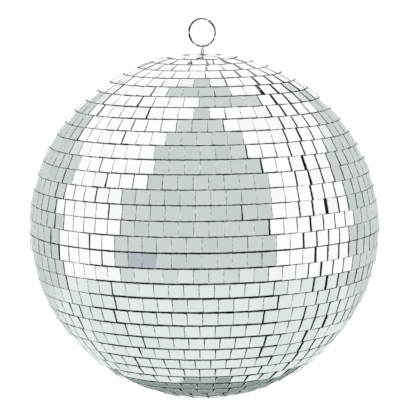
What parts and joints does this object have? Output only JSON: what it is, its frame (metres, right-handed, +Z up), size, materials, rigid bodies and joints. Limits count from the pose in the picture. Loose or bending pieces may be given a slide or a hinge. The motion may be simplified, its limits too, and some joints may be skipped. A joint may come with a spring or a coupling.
{
  "type": "mirror ball",
  "caption": "Round mirror ball: rings of small square mirror tiles on a hollow core, hung by a split ring through a wire loop at its top pole.",
  "frame": {"origin": "inside top of the split ring, where a hook or motor clip holds it", "axes": "+Z up along the ball's polar axis; the split ring lies in the XZ plane and +Y runs through it"},
  "size_m": [0.3054, 0.3054, 0.3314],
  "materials": {
    "mirror_tile": "silvered glass",
    "core_plastic": "matt, moulded",
    "eyelet_steel": "satin",
    "wire_steel": "bright drawn wire",
    "ring_steel": "bright spring wire"
  },
  "bodies": {
    "split_ring": {"split_ring": "ring_steel"},
    "hanger": {"wire_loop": "wire_steel"},
    "ball": {"tile_ring_upper_01": "mirror_tile", "tile_ring_upper_02": "mirror_tile", "tile_ring_upper_03": "mirror_tile", "tile_ring_upper_04": "mirror_tile", "tile_ring_upper_05": "mirror_tile", "tile_ring_upper_06": "mirror_tile", "tile_ring_upper_07": "mirror_tile", "tile_ring_upper_08": "mirror_tile", "tile_ring_upper_09": "mirror_tile", "tile_ring_upper_10": "mirror_tile", "tile_ring_upper_11": "mirror_tile", "tile_ring_upper_12": "mirror_tile", "tile_ring_upper_13": "mirror_tile", "tile_ring_upper_14": "mirror_tile", "tile_ring_upper_15": "mirror_tile", "tile_ring_upper_16": "mirror_tile", "tile_ring_upper_17": "mirror_tile", "tile_ring_lower_01": "mirror_tile", "tile_ring_lower_02": "mirror_tile", "tile_ring_lower_03": "mirror_tile", "tile_ring_lower_04": "mirror_tile", "tile_ring_lower_05": "mirror_tile", "tile_ring_lower_06": "mirror_tile", "tile_ring_lower_07": "mirror_tile", "tile_ring_lower_08": "mirror_tile", "tile_ring_lower_09": "mirror_tile", "tile_ring_lower_10": "mirror_tile", "tile_ring_lower_11": "mirror_tile", "tile_ring_lower_12": "mirror_tile", "tile_ring_lower_13": "mirror_tile", "tile_ring_lower_14": "mirror_tile", "tile_ring_lower_15": "mirror_tile", "tile_ring_lower_16": "mirror_tile", "tile_ring_lower_17": "mirror_tile", "pole_tiles_top": "mirror_tile", "pole_tiles_bottom": "mirror_tile", "core_upper_shell": "core_plastic", "core_lower_shell": "core_plastic", "pole_eyelet": "eyelet_steel", "anchor_washer": "eyelet_steel"}
  },
  "joints": [
    {"name": "ball_swing", "type": "hinge", "parent": "split_ring", "child": "hanger", "pos_m": [0, 0, -0.02305], "axis": [1, 0, 0], "range_deg": [-100, 100]},
    {"name": "loop_swivel", "type": "hinge", "parent": "hanger", "child": "ball", "pos_m": [0, 0, -0.02985], "axis": [0, 0, 1], "continuous": true}
  ]
}
